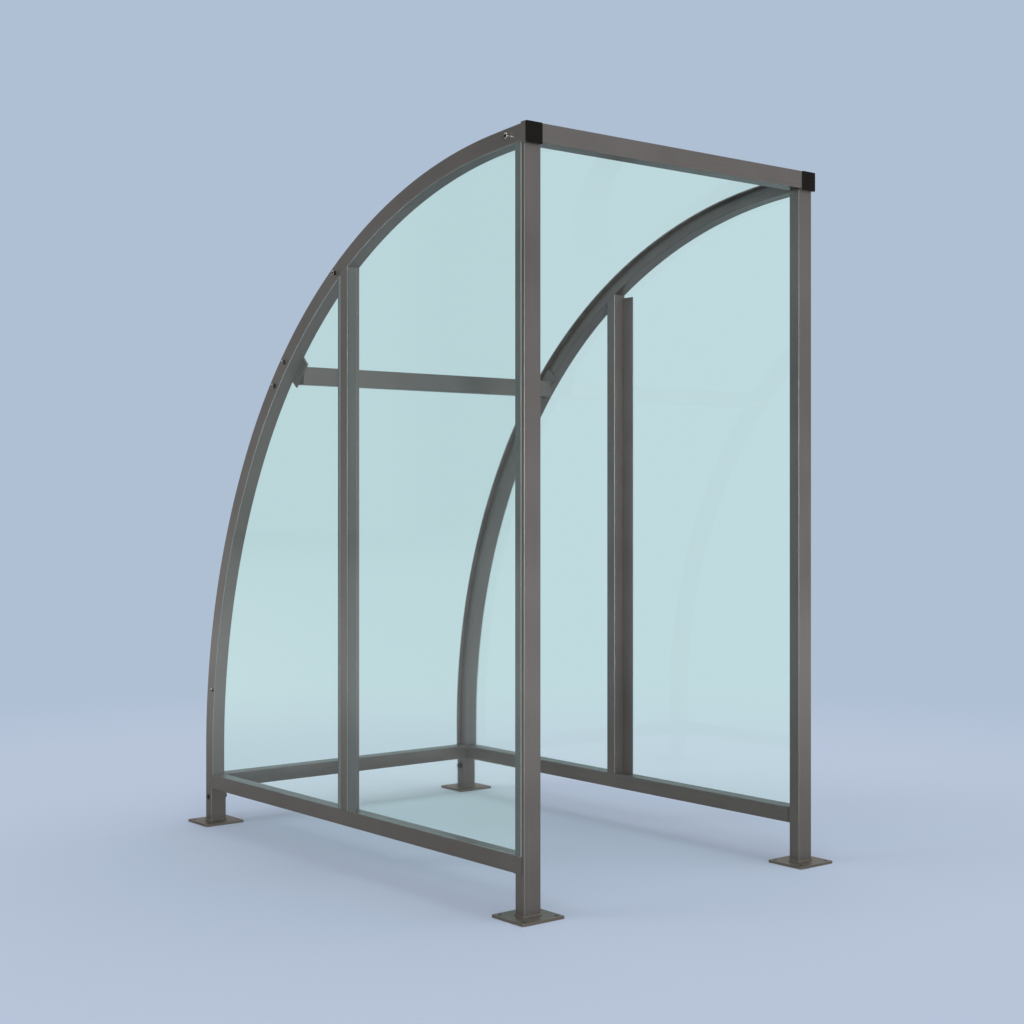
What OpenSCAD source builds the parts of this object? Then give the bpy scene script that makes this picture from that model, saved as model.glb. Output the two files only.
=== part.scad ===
// Single-bay bicycle shelter: a quarter-round arch frame on four feet, open at
// the front, with clear sheets on both sides, over the roof and down the back.
// The origin is on the ground at the middle of the footprint. The open front
// faces -Y, X runs along the front and Z is up. Sizes are in millimetres.

/* [Shelter] */
// Width over the outer faces of the two side frames
width = 1190; // [900:10:1800]
// Depth from the front face of the posts to the rear face of the arches
depth = 1810; // [1750:10:2000]
// Height of the top of the front beam above the ground
height = 2200; // [2150:10:2400]

/* [Arches] */
// Side of the square arch tube
arch_tube = 50; // [40:1:55]
// Outer radius of the lower, rear bend of the arch
lower_radius = 2065; // [2000:5:2200]
// Outer radius of the upper, front bend of the arch
upper_radius = 1765; // [1700:5:1800]
// Height of the top of the front beam over the arches' line at the beam's front face
arch_drop = 3; // [0:1:10]

/* [Posts and feet] */
// Wall of every steel tube
tube_wall = 3; // [2:0.5:4]
// Width of a post, along the front
post_w = 60; // [50:1:70]
// Depth of a post, front to rear
post_d = 40; // [30:1:50]
// Width of a base plate, along the front
plate_w = 150; // [140:1:180]
// Depth of a base plate, front to rear
plate_d = 140; // [130:1:160]
// Thickness of a base plate
plate_t = 8; // [6:1:15]
// Corner radius of a base plate
plate_corner_r = 5; // [2:1:15]
// Distance from the edge of a base plate to the middle of an anchor hole
hole_inset = 17; // [14:1:22]
// Diameter of an anchor hole
hole_d = 12; // [8:1:14]

/* [Front beam] */
// Height of the front beam
beam_h = 55; // [45:1:60]
// Depth of the front beam, front to rear
beam_d = 55; // [45:1:60]
// Distance that the beam and its end sleeves stand ahead of the posts
beam_lead = 10; // [4:1:15]
// Side of the square end sleeve at each end of the beam
sleeve_side = 60; // [56:1:64]
// Distance that the sleeve runs back past the front of the post
sleeve_lap = 10; // [6:1:14]
// Thickness of the lip of the plastic end cap
cap_lip = 2; // [1:0.5:3]
// Depth of the plug of the end cap inside the sleeve
cap_plug = 12; // [8:1:14]

/* [Rails and mullions] */
// Width of a bottom rail
rail_w = 50; // [40:1:55]
// Height of a bottom rail
rail_h = 50; // [40:1:60]
// Height of the underside of the bottom rails above the ground
rail_z = 125; // [100:5:150]
// Distance from the front of the posts to the front face of a mullion
mullion_y = 884; // [800:1:950]
// Width of a mullion, along the front
mullion_w = 50; // [40:1:55]
// Depth of a mullion, front to rear
mullion_d = 40; // [30:1:50]
// Width of the mullion's flange behind the front pane
front_flange = 50; // [20:1:60]
// Width of the mullion's flange behind the rear pane
rear_flange = 17; // [8:1:24]
// Thickness of the mullion's flanges
flange_t = 5; // [3:0.5:6]
// Depth of the flanges' square top below the arch, at the mullion's front face
flange_drop = 10; // [0:1:20]

/* [Cross rail] */
// Depth of the cross rail, front to rear
cross_d = 40; // [30:1:45]
// Height of the cross rail
cross_h = 60; // [50:1:65]
// Turn of the arch, up from its upper centre, at the cross rail, in degrees
cross_turn = 42.8; // [41:0.2:45]
// Depth of the cross rail's top rear corner below the arch's outer face
cross_inset = 32; // [28:1:40]
// Length of an end bracket along the arch
bracket_len = 106; // [90:1:150]
// Thickness of an end bracket
bracket_t = 6; // [4:1:8]
// Depth of the bracket's lower edge below the arch's outer face
bracket_reach = 78; // [70:1:90]

/* [Clear sheets] */
// Thickness of every clear sheet
sheet_t = 4; // [3:0.5:6]
// Depth of the curved sheets below the arches' outer face
sheet_inset = 0; // [0:1:10]
// Gap between a sheet and the frame or strip beside it
sheet_gap = 1; // [0.5:0.5:2]
// Width of the seating strip under the curved sheets, inwards from the arch
strip_w = 16; // [10:1:20]
// Thickness of the seating strip
strip_t = 5; // [3:1:8]
// Width of the cover strip over the joint between the curved sheets
cover_w = 30; // [24:1:40]
// Thickness of the cover strip and of its web between the sheets
cover_t = 3; // [2:0.5:4]

/* [Hidden] */

// Fineness of the small and of the large round forms, and a length past the whole shelter
small_fn = 48;
large_fn = 720;
far = 3000;

// In a side outline, y runs back from the front face of the posts and z is up
front_y = -depth / 2;
half_w = width / 2;
rail_top = rail_z + rail_h;
leg_y = depth - post_d;

// The arch turns up from its foot in two bends, and then runs straight to the beam.
// The turns at which the bends meet and the straight starts are angles of triangles with
// whole sides (336, 527, 625 and 237, 3116, 3125), so that sine and cosine are short
// decimals and the bends meet each other and the straight exactly.
bend_turn = atan2(336, 527);
straight_turn = atan2(3116, 237);
radius_step = lower_radius - upper_radius;
lower_cy = depth - lower_radius;
upper_cy = lower_cy + radius_step * 527 / 625;
upper_rise = (upper_radius + (upper_cy + beam_lead) * 237 / 3125) * 3125 / 3116;
lower_cz = floor(height - arch_drop - upper_rise - radius_step * 336 / 625);
upper_cz = lower_cz + radius_step * 336 / 625;

// Cross rail: its rear face and its top follow the arch
cross_rear = upper_cy + (upper_radius - cross_inset) * cos(cross_turn);
cross_top = upper_cz + (upper_radius - cross_inset) * sin(cross_turn);

// Curved sheets and what they lie on
sheet_under = sheet_inset + sheet_t;
strip_under = sheet_under + strip_t;
joint_turn = asin((cross_top - cross_h / 2 - upper_cz) / (upper_radius - sheet_under));
cover_half_turn = cover_w / 2 / upper_radius * 180 / PI;
web_half_turn = cover_t / 2 / upper_radius * 180 / PI;
gap_turn = sheet_gap / upper_radius * 180 / PI;
bracket_half_turn = bracket_len / 2 / upper_radius * 180 / PI;
bay_w = width - 2 * arch_tube;

// Height of the arch's underside above the mullion's front face
mullion_top = upper_cz + sqrt(pow(upper_radius - arch_tube, 2) - pow(mullion_y - upper_cy, 2));

// Stands a side outline up and gives it a width, from x0 to x0 + w
module side_shape(x0, w)
    translate([x0, front_y, 0])
        rotate([90, 0, 90])
            linear_extrude(height = w)
                children();

// Repeats its children on the left, or mirrored on the right
module on_side(side)
    mirror([side == "right" ? 1 : 0, 0, 0])
        children();

// Half of a side outline: all that lies before a turn from a centre, or past it
module before_turn(centre, turn)
    translate(centre)
        rotate(turn)
            translate([-far, -far])
                square([2 * far, far]);
module past_turn(centre, turn)
    translate(centre)
        rotate(turn)
            translate([-far, 0])
                square([2 * far, far]);

// Slice between two turns from a centre
module wedge(centre, turn0, turn1)
    intersection() {
        past_turn(centre, turn0);
        before_turn(centre, turn1);
    }

// All that lies under the arch's line, moved inwards by inset
module under_arch(inset)
    intersection() {
        side_box(-beam_lead, 0, far, far);
        union() {
            side_box(-beam_lead, 0, depth - inset, lower_cz);
            intersection() {
                translate([lower_cy, lower_cz])
                    circle(r = lower_radius - inset, $fn = large_fn);
                wedge([lower_cy, lower_cz], 0, bend_turn);
            }
            intersection() {
                translate([upper_cy, upper_cz])
                    circle(r = upper_radius - inset, $fn = large_fn);
                wedge([upper_cy, upper_cz], bend_turn, straight_turn);
            }
            translate([upper_cy, upper_cz])
                rotate(straight_turn)
                    translate([-far, 0])
                        square([far + upper_radius - inset, far]);
        }
    }

// Band that follows the arch between two depths
module arch_band(inset0, inset1)
    difference() {
        under_arch(inset0);
        under_arch(inset1);
    }

// Rectangle in a side outline
module side_box(y0, z0, y1, z1)
    translate([y0, z0])
        square([y1 - y0, z1 - z0]);

// Rectangular tube from a corner, open at both ends of one axis: 0 is X, 1 is Y, 2 is Z
module tube(corner, size, along)
    translate(corner)
        difference() {
            cube(size);
            translate([for (i = [0:2]) i == along ? -1 : tube_wall])
                cube([for (i = [0:2]) size[i] + (i == along ? 2 : -2 * tube_wall)]);
        }

module front_post()
    color("dimgray")
        intersection() {
            tube([-half_w + sheet_t, front_y, plate_t], [post_w, post_d, height], 2);
            side_shape(-half_w, 2 * post_w)
                intersection() {
                    under_arch(arch_tube);
                    union() {
                        side_box(-far, 0, far, height - sleeve_side);
                        side_box(sleeve_lap, 0, far, height - beam_h);
                    }
                }
        }

module base_plate(x, y)
    color("dimgray")
        translate([x, y, 0])
            difference() {
                linear_extrude(height = plate_t)
                    union() {
                        square([plate_w - 2 * plate_corner_r, plate_d], center = true);
                        square([plate_w, plate_d - 2 * plate_corner_r], center = true);
                        for (sx = [-1, 1], sy = [-1, 1])
                            translate([sx * (plate_w / 2 - plate_corner_r), sy * (plate_d / 2 - plate_corner_r)])
                                circle(r = plate_corner_r, $fn = small_fn);
                    }
                for (sx = [-1, 1], sy = [-1, 1])
                    translate([sx * (plate_w / 2 - hole_inset), sy * (plate_d / 2 - hole_inset), -1])
                        cylinder(h = plate_t + 2, d = hole_d, $fn = small_fn);
            }

module front_plate()
    base_plate(-half_w + sheet_t + post_w / 2, front_y + post_d / 2);

module rear_plate()
    base_plate(-half_w + post_w / 2, front_y + leg_y + post_d / 2);

// Stub tube between the rear base plate and the arch, closed at its top
module rear_leg()
    color("dimgray")
        translate([-half_w, front_y + leg_y, plate_t])
            difference() {
                cube([post_w, post_d, rail_z - plate_t]);
                translate([tube_wall, tube_wall, -1])
                    cube([post_w - 2 * tube_wall, post_d - 2 * tube_wall, rail_z - plate_t - tube_wall + 1]);
            }

// Bent square tube, open at the beam sleeve and closed above the rear leg
module arch()
    color("dimgray")
        difference() {
            side_shape(-half_w, arch_tube)
                difference() {
                    arch_band(0, arch_tube);
                    side_box(-far, -1, sleeve_lap, far);
                    side_box(0, -1, far, rail_z);
                }
            side_shape(-half_w + tube_wall, arch_tube - 2 * tube_wall)
                difference() {
                    arch_band(tube_wall, arch_tube - tube_wall);
                    side_box(0, -1, far, rail_z + tube_wall);
                }
        }

module front_beam()
    color("dimgray")
        difference() {
            tube([-half_w + arch_tube, front_y - beam_lead, height - beam_h], [bay_w, beam_d, beam_h], 0);
            for (side = ["left", "right"])
                on_side(side)
                    side_shape(-half_w, sleeve_side)
                        side_box(-2 * beam_lead, 0, sleeve_lap, far);
        }

module beam_sleeve()
    color("dimgray")
        translate([-half_w, front_y - beam_lead, height - sleeve_side])
            difference() {
                cube([sleeve_side, beam_lead + sleeve_lap, sleeve_side]);
                translate([tube_wall, -1, tube_wall])
                    cube([sleeve_side - 2 * tube_wall, cap_plug + 1, sleeve_side - 2 * tube_wall]);
            }

module beam_cap()
    color("black")
        translate([-half_w, front_y - beam_lead, height - sleeve_side]) {
            translate([0, -cap_lip, 0])
                cube([sleeve_side, cap_lip, sleeve_side]);
            translate([tube_wall, 0, tube_wall])
                cube([sleeve_side - 2 * tube_wall, cap_plug, sleeve_side - 2 * tube_wall]);
        }

module side_rail()
    color("dimgray")
        tube([-half_w, front_y + post_d, rail_z], [rail_w, depth - post_d - arch_tube, rail_h], 1);

module rear_rail()
    color("dimgray")
        tube([-half_w + arch_tube, -front_y - rail_w, rail_z], [bay_w, rail_w, rail_h], 0);

module rail_lug()
    color("dimgray")
        side_shape(-half_w, sheet_t)
            side_box(sleeve_lap, rail_z, post_d, rail_top);

// Upright tube with a flange on each side, behind the edges of the two panes
module mullion()
    color("dimgray")
        intersection() {
            translate([-half_w, front_y + mullion_y, rail_top])
                linear_extrude(height = height)
                    difference() {
                        union() {
                            square([mullion_w, mullion_d]);
                            translate([sheet_t, -front_flange])
                                square([flange_t, front_flange + mullion_d + rear_flange]);
                        }
                        translate([tube_wall, tube_wall])
                            square([mullion_w - 2 * tube_wall, mullion_d - 2 * tube_wall]);
                    }
            side_shape(-half_w, mullion_w)
                intersection() {
                    under_arch(arch_tube);
                    union() {
                        side_box(0, 0, mullion_y, mullion_top - flange_drop);
                        side_box(mullion_y, 0, far, mullion_top);
                    }
                }
        }

module cross_rail()
    color("dimgray")
        tube(
            [-half_w + arch_tube + bracket_t, front_y + cross_rear - cross_d, cross_top - cross_h],
            [bay_w - 2 * bracket_t, cross_d, cross_h],
            0
        );

module cross_bracket()
    color("dimgray")
        side_shape(-half_w + arch_tube, bracket_t)
            intersection() {
                arch_band(strip_under + sheet_gap, bracket_reach);
                wedge([upper_cy, upper_cz], cross_turn - bracket_half_turn, cross_turn + bracket_half_turn);
            }

// Side pane from y0 to y1, between the bottom rail and the arch
module side_pane(y0, y1)
    color("paleturquoise", 0.4)
        side_shape(-half_w, sheet_t)
            intersection() {
                side_box(y0, rail_top, y1, far);
                under_arch(arch_tube);
            }

module curved_sheet()
    color("paleturquoise", 0.4)
        side_shape(-half_w + arch_tube + sheet_gap, bay_w - 2 * sheet_gap)
            intersection() {
                arch_band(sheet_inset, sheet_under);
                children();
            }

module roof_sheet()
    curved_sheet()
        difference() {
            side_box(beam_d - beam_lead, cross_top - cross_h, far, far);
            before_turn([upper_cy, upper_cz], joint_turn + web_half_turn + gap_turn);
        }

module back_sheet()
    curved_sheet()
        intersection() {
            side_box(0, rail_top, far, far);
            before_turn([upper_cy, upper_cz], joint_turn - web_half_turn - gap_turn);
        }

// Cover strip over the edges of both curved sheets, with a web between them, behind the cross rail
module sheet_joint()
    color("dimgray")
        side_shape(-half_w + arch_tube, bay_w) {
            intersection() {
                arch_band(sheet_inset - cover_t, sheet_inset);
                wedge([upper_cy, upper_cz], joint_turn - cover_half_turn, joint_turn + cover_half_turn);
            }
            intersection() {
                arch_band(sheet_inset - cover_t, sheet_under);
                wedge([upper_cy, upper_cz], joint_turn - web_half_turn, joint_turn + web_half_turn);
            }
        }

module seating_strip()
    color("dimgray")
        side_shape(-half_w + arch_tube, strip_w)
            difference() {
                arch_band(sheet_under, strip_under);
                side_box(-far, -1, beam_d - beam_lead, far);
                side_box(0, -1, far, rail_top);
            }

on_side("left") front_post();  // post_left
on_side("right") front_post();  // post_right
on_side("left") front_plate();  // base_plate_front_left
on_side("right") front_plate();  // base_plate_front_right
on_side("left") rear_plate();  // base_plate_rear_left
on_side("right") rear_plate();  // base_plate_rear_right
on_side("left") rear_leg();  // rear_leg_left
on_side("right") rear_leg();  // rear_leg_right
on_side("left") arch();  // arch_left
on_side("right") arch();  // arch_right
front_beam();
on_side("left") beam_sleeve();  // beam_sleeve_left
on_side("right") beam_sleeve();  // beam_sleeve_right
on_side("left") beam_cap();  // beam_cap_left
on_side("right") beam_cap();  // beam_cap_right
on_side("left") side_rail();  // bottom_rail_left
on_side("right") side_rail();  // bottom_rail_right
rear_rail();  // bottom_rail_rear
on_side("left") rail_lug();  // rail_lug_left
on_side("right") rail_lug();  // rail_lug_right
on_side("left") mullion();  // mullion_left
on_side("right") mullion();  // mullion_right
cross_rail();
on_side("left") cross_bracket();  // cross_bracket_left
on_side("right") cross_bracket();  // cross_bracket_right
on_side("left") side_pane(sleeve_lap, mullion_y - sheet_gap);  // side_pane_front_left
on_side("right") side_pane(sleeve_lap, mullion_y - sheet_gap);  // side_pane_front_right
on_side("left") side_pane(mullion_y + mullion_d + sheet_gap, depth);  // side_pane_rear_left
on_side("right") side_pane(mullion_y + mullion_d + sheet_gap, depth);  // side_pane_rear_right
roof_sheet();
back_sheet();
sheet_joint();
on_side("left") seating_strip();  // seating_strip_left
on_side("right") seating_strip();  // seating_strip_right
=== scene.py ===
# %% [markdown]
# # A single-bay bicycle shelter
#
# The shelter is a frame of satin, warm grey coated steel tube. Two bent arches spring
# from short legs at the back and run over to a beam on two front posts. Clear
# sea-green sheets close the sides, the roof and the back, and the front is open.
#
# The solids made in CAD are loaded as a fixed frame. Every piece below takes its place
# from their boxes, in metres, with Z up, the open front towards -Y and the origin on
# the ground in the middle of the footprint.

# %% Load the frame and the tools
import bpy
import math
from mathutils import Matrix, Vector


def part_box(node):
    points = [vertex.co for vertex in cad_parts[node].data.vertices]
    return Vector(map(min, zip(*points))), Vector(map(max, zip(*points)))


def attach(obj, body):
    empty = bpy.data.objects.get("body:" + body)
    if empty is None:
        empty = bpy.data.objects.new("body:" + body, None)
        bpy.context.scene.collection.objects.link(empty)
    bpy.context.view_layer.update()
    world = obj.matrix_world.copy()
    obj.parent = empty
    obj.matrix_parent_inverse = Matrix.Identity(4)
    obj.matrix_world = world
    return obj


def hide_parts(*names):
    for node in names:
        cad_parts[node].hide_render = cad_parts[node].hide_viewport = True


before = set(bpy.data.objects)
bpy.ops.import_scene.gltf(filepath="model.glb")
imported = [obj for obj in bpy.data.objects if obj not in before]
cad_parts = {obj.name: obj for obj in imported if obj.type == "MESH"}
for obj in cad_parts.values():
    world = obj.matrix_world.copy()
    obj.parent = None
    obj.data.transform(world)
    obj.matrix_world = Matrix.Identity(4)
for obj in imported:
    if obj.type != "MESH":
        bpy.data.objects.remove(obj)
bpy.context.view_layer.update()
mm = 0.001
print("frame loaded:", len(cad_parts), "solids")

# %% [markdown]
# ## Reading the frame's sizes
#
# A maker works from a few key lines: the side of a tube, the top of the rail, the two
# centres that the arches are bent round. Taking them from the boxes of the solids keeps
# every new piece in step with the frame. The arch is bent to two radii: the lower, rear
# bend meets the upper one at a turn whose sine and cosine are 336/625 and 527/625, and
# the last stretch to the beam is straight.

# %% Key lines of the frame
def low(node):
    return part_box(node)[0]


def high(node):
    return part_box(node)[1]


side_x = low("arch_left").x
arch_in_x = high("arch_left").x
rear_y = high("arch_left").y
tube_side = arch_in_x - side_x
tube_wall = 3 * mm
rail_top = high("bottom_rail_left").z
lower_radius = 2065 * mm
upper_radius = 1765 * mm
bend_turn = math.atan2(336, 527)
straight_turn = math.atan2(3116, 237)
lower_centre = Vector((0, rear_y - lower_radius, 265 * mm))
upper_centre = lower_centre + (lower_radius - upper_radius) * Vector((0, 527, 336)) / 625
hair = 0.0001  # a hair's breadth, in metres or as a turn
print("arch centres:", tuple(lower_centre), tuple(round(c, 5) for c in upper_centre))

# %% [markdown]
# ## Camera
#
# A long lens at a person's chest height looks level at the open front corner, so that
# upright tubes stay upright. A lens shift of about one hundredth of the frame drops the
# horizon a little without tipping the camera.

# %% Camera
camera_spot = (-3.4728, -4.4495, 1.1567)
camera_turn = math.radians(51.307 - 90)
bpy.ops.object.select_all(action="DESELECT")
bpy.ops.object.camera_add(location=camera_spot, rotation=(math.pi / 2, 0, camera_turn))
camera = bpy.context.object
camera.data.lens = 58.44
camera.data.sensor_width = 36
camera.data.shift_y = -0.0115
camera.data.clip_end = 300
bpy.context.scene.camera = camera
print("camera at", tuple(round(c, 2) for c in camera.location))

# %% [markdown]
# ## Node helpers
#
# Every finish below is a small net of nodes. A node's inputs can be filled by number:
# a Mix node's two colours are inputs 6 and 7. The helpers add a node and wire its
# source in one line, so that each finish reads as a short list of what it is made of.

# %% Node helpers
def linear(red, green, blue):
    """Turns a colour written in 0..255 display values into Blender's linear values."""
    def one(v):
        v = v / 255
        return v / 12.92 if v <= 0.04045 else ((v + 0.055) / 1.055) ** 2.4
    return (one(red), one(green), one(blue), 1)


def grey(level):
    """A neutral colour."""
    return (level, level, level, 1)


def new_material(name):
    """An empty material with its output node."""
    material = bpy.data.materials.new(name)
    material.use_nodes = True
    material.node_tree.nodes.clear()
    material.node_tree.nodes.new("ShaderNodeOutputMaterial")
    return material


def wire(tree, *links):
    """Joins output sockets to input sockets, given in pairs."""
    for source, target in links:
        tree.links.new(source, target)


def add_node(tree, kind, **values):
    """Adds a node. A value named in_N fills input N, and any other sets a property."""
    made = tree.nodes.new(kind)
    for key, value in values.items():
        if key.startswith("in_"):
            made.inputs[int(key[3:])].default_value = value
        else:
            setattr(made, key, value)
    return made


def mix_tones(tree, factor, **values):
    """Mixes two colours by a factor. A colour that isn't given here is wired later."""
    made = add_node(tree, "ShaderNodeMix", data_type="RGBA", **values)
    wire(tree, (factor, made.inputs[0]))
    return made


def add_range(tree, source, start, end, at_start=0.0, at_end=1.0, **values):
    """Turns start..end of a source into at_start..at_end, and holds it beyond them."""
    ends = {"in_1": start, "in_2": end, "in_3": at_start, "in_4": at_end}
    made = add_node(tree, "ShaderNodeMapRange", **ends, **values)
    wire(tree, (source, made.inputs[0]))
    return made.outputs[0]


def add_math(tree, operation, first, second=None, **values):
    """Does a sum on one or two sources."""
    made = add_node(tree, "ShaderNodeMath", operation=operation, **values)
    wire(tree, (first, made.inputs[0]))
    if second is not None:
        wire(tree, (second, made.inputs[1]))
    return made.outputs[0]


def add_noise(tree, spot, scale, detail, rough=0.5):
    """Noise read at a spot. Its scale is about the number of patches in a metre."""
    made = add_node(tree, "ShaderNodeTexNoise", in_2=scale, in_3=detail, in_4=rough)
    wire(tree, (spot, made.inputs["Vector"]))
    return made.outputs[0]


def add_ramp(tree, source, *stops):
    """Turns a source into colours. The two ends come first, then any stops between them."""
    made = add_node(tree, "ShaderNodeValToRGB")
    marks = made.color_ramp.elements
    for index, (spot, tone) in enumerate(stops):
        mark = marks[index] if index < 2 else marks.new(spot)
        mark.position = spot
        mark.color = (*tone, 1)
    wire(tree, (source, made.inputs[0]))
    return made.outputs[0]


def add_bump(tree, height, strength, distance):
    """Bump from a height, with its strength and its full height in metres."""
    made = add_node(tree, "ShaderNodeBump", in_0=strength, in_1=distance)
    wire(tree, (height, made.inputs["Height"]))
    return made.outputs[0]


print("node helpers ready")

# %% [markdown]
# ## Floor and backdrop
#
# The shelter stands in a plain pale blue studio. The floor is one wide disc. Near the
# shelter it is matt paint, which takes the shadow. Further out it turns into an even
# glow of the backdrop's own colour, so that no horizon line shows. A Light Path node
# says what kind of ray is asking: one from the camera sees the backdrop, and one that
# came through a clear sheet sees a lighter sea-green tone instead. That tone is a painted
# veil, which stands in for the light that the sheet adds to what is seen through it.
#
# Mirrored and bounced light would tint the steel blue, so those rays find a neutral
# grey studio instead. There the far floor is bright close by and dims with distance.

# %% Floor
backdrop = linear(176, 192, 212)
floor_tone = linear(200, 214, 237)
# Seen through a sheet, the floor and backdrop take these two painted veil tones. They are lighter
# and greener than their own colours and stand in for the light that the sheet adds.
painted_veil_far = linear(196, 221, 226)
painted_veil_near = linear(212, 233, 246)

bpy.ops.object.select_all(action="DESELECT")
bpy.ops.mesh.primitive_circle_add(vertices=96, radius=60, fill_type="NGON", location=(0, 0, 0))
floor = bpy.context.object
floor.name = "studio_floor"

floor_material = new_material("studio_floor_paint")
tree = floor_material.node_tree
place = add_node(tree, "ShaderNodeTexCoord")
reach = add_node(tree, "ShaderNodeVectorMath", operation="LENGTH")
wire(tree, (place.outputs["Object"], reach.inputs[0]))
away = reach.outputs["Value"]
fade = add_range(tree, away, 1.6, 5.5, interpolation_type="SMOOTHERSTEP")
path = add_node(tree, "ShaderNodeLightPath").outputs
through = path["Is Transmission Ray"]
seen = add_math(tree, "MAXIMUM", path["Is Camera Ray"], through)
lit_or_veil_tone = mix_tones(tree, through, in_6=floor_tone, in_7=painted_veil_near)
seen_or_veil_tone = mix_tones(tree, through, in_6=backdrop, in_7=painted_veil_far)
mirrored_tone = mix_tones(tree, path["Is Glossy Ray"], in_6=grey(0.24))
mirrored_fall = add_range(tree, away, 6, 40, 1.5, 0.4)
near_tone = mix_tones(tree, seen, in_6=grey(0.52))
far_tone = mix_tones(tree, seen)
paint = add_node(tree, "ShaderNodeBsdfDiffuse")
glow = add_node(tree, "ShaderNodeEmission")
blend = add_node(tree, "ShaderNodeMixShader")
wire(
    tree,
    (mirrored_fall, mirrored_tone.inputs[7]),
    (mirrored_tone.outputs[2], far_tone.inputs[6]),
    (seen_or_veil_tone.outputs[2], far_tone.inputs[7]),
    (lit_or_veil_tone.outputs[2], near_tone.inputs[7]),
    (near_tone.outputs[2], paint.inputs[0]),
    (far_tone.outputs[2], glow.inputs[0]),
    (fade, blend.inputs[0]),
    (paint.outputs[0], blend.inputs[1]),
    (glow.outputs[0], blend.inputs[2]),
    (blend.outputs[0], tree.nodes["Material Output"].inputs[0]),
)
floor.data.materials.append(floor_material)
print("studio floor made,", len(tree.nodes), "nodes")

# %% [markdown]
# The world is the studio round the shelter. Seen straight it is the plain backdrop, and
# seen through a sheet it is the painted, lighter sea-green veil. As a light it is neutral:
# darkest underfoot, brightest overhead, and stronger from the front than from the back.
# A low band of glow behind the shelter is mirrored by tube faces that are seen at a
# slant, and gives them their pale sheen.

# %% World
world = bpy.data.worlds.new("studio")
bpy.context.scene.world = world
world.use_nodes = True
tree = world.node_tree
tree.nodes.clear()
place = add_node(tree, "ShaderNodeTexCoord")
split = add_node(tree, "ShaderNodeSeparateXYZ")
wire(tree, (place.outputs["Generated"], split.inputs[0]))
path = add_node(tree, "ShaderNodeLightPath").outputs
through = path["Is Transmission Ray"]
seen = add_math(tree, "MAXIMUM", path["Is Camera Ray"], through)
# A ray that came through a sheet sees the painted veil tone, lighter and greener than the
# backdrop.
wall_or_veil_tone = mix_tones(tree, through, in_6=backdrop, in_7=painted_veil_far)


def how_far_towards(way):
    """How much the light comes from a level direction: 1 from it, -1 from its back."""
    dot = add_node(tree, "ShaderNodeVectorMath", operation="DOT_PRODUCT", in_1=way)
    wire(tree, (place.outputs["Generated"], dot.inputs[0]))
    return dot.outputs["Value"]


half = add_math(tree, "MULTIPLY_ADD", split.outputs[2], in_1=0.5, in_2=0.5)
underfoot, overhead, level_light = (0.30, 0.30, 0.30), (0.84, 0.83, 0.82), (0.57, 0.56, 0.55)
rise = add_ramp(tree, half, (0.0, underfoot), (1.0, overhead), (0.5, level_light))
front_fill = add_range(tree, how_far_towards((0.68, -0.73, 0.0)), -0.6, 0.9, 0.26, 1.04)
slant = add_range(tree, how_far_towards((0.812, 0.584, 0.0)), -0.01, 0.02, 0.0, 0.9)
at_back = add_range(tree, split.outputs[1], 0.3, 0.6)
steepness = add_math(tree, "ABSOLUTE", split.outputs[2])
low_band = add_range(tree, steepness, 0.3, 0.55, 1.0, 0.0)
glow_part = add_math(tree, "MULTIPLY", slant, at_back)
back_glow = add_math(tree, "MULTIPLY", glow_part, low_band)
strength = add_math(tree, "ADD", front_fill, back_glow)
wall_light = add_node(tree, "ShaderNodeBackground")
studio_light = add_node(tree, "ShaderNodeBackground")
choose = add_node(tree, "ShaderNodeMixShader")
out = add_node(tree, "ShaderNodeOutputWorld")
wire(
    tree,
    (wall_or_veil_tone.outputs[2], wall_light.inputs[0]),
    (rise, studio_light.inputs[0]),
    (strength, studio_light.inputs[1]),
    (seen, choose.inputs[0]),
    (studio_light.outputs[0], choose.inputs[1]),
    (wall_light.outputs[0], choose.inputs[2]),
    (choose.outputs[0], out.inputs[0]),
)
print("studio world made,", len(tree.nodes), "nodes")

# %% [markdown]
# ## Lights
#
# Three suns add shape to the world's soft light. One on the left lights the outer
# faces, and a very broad one overhead lights the tops of rails and plates and casts the
# soft shadow. A narrow, level one from the front left draws the thin bright line down
# each rounded tube corner. A sun lights near and far alike, and unlike an area lamp it
# isn't mirrored in the panes as a bright rectangle.

# %% Lamps
def add_sun(name, towards, strength, spread):
    """A sun that shines from the point towards, as wide as spread in degrees."""
    bpy.ops.object.light_add(type="SUN", location=towards)
    lamp = bpy.context.object
    lamp.name = name
    lamp.rotation_euler = Vector(towards).to_track_quat("Z", "Y").to_euler()
    lamp.data.energy = strength
    lamp.data.angle = math.radians(spread)


add_sun("lamp_left", (-3.2, 1.5, 3.6), 0.4, 25)
add_sun("lamp_top", (0.3, -0.6, 5.0), 0.9, 60)
add_sun("lamp_corner", (-2.6, -4.2, 0.1), 1.5, 5)
bpy.context.scene.view_settings.view_transform = "Standard"
print("lamps made")

# %% [markdown]
# ## Coated steel
#
# The real tubes carry a satin, warm grey metallic coat. Rolled tube shows faint streaks
# along its length, the coat has a very fine pebble, and the tone drifts a little from
# place to place. The streaks are noise stretched along the way that the tube runs. On
# the arches that way is a curve, so there the noise is read by distance from the bend's
# centre, which is the same all along the arch. The coat is about half metal: a full
# metal would mirror the studio too clearly, and a plain paint would look chalky.

# %% Coated steel
streak_stretch = 0.012
coat_tone = (0.156, 0.149, 0.145)
plate_tone = (0.165, 0.152, 0.134)


def shade_of(tone, share):
    """A lighter or darker shade of a tone."""
    return [c * share for c in tone]


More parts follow.
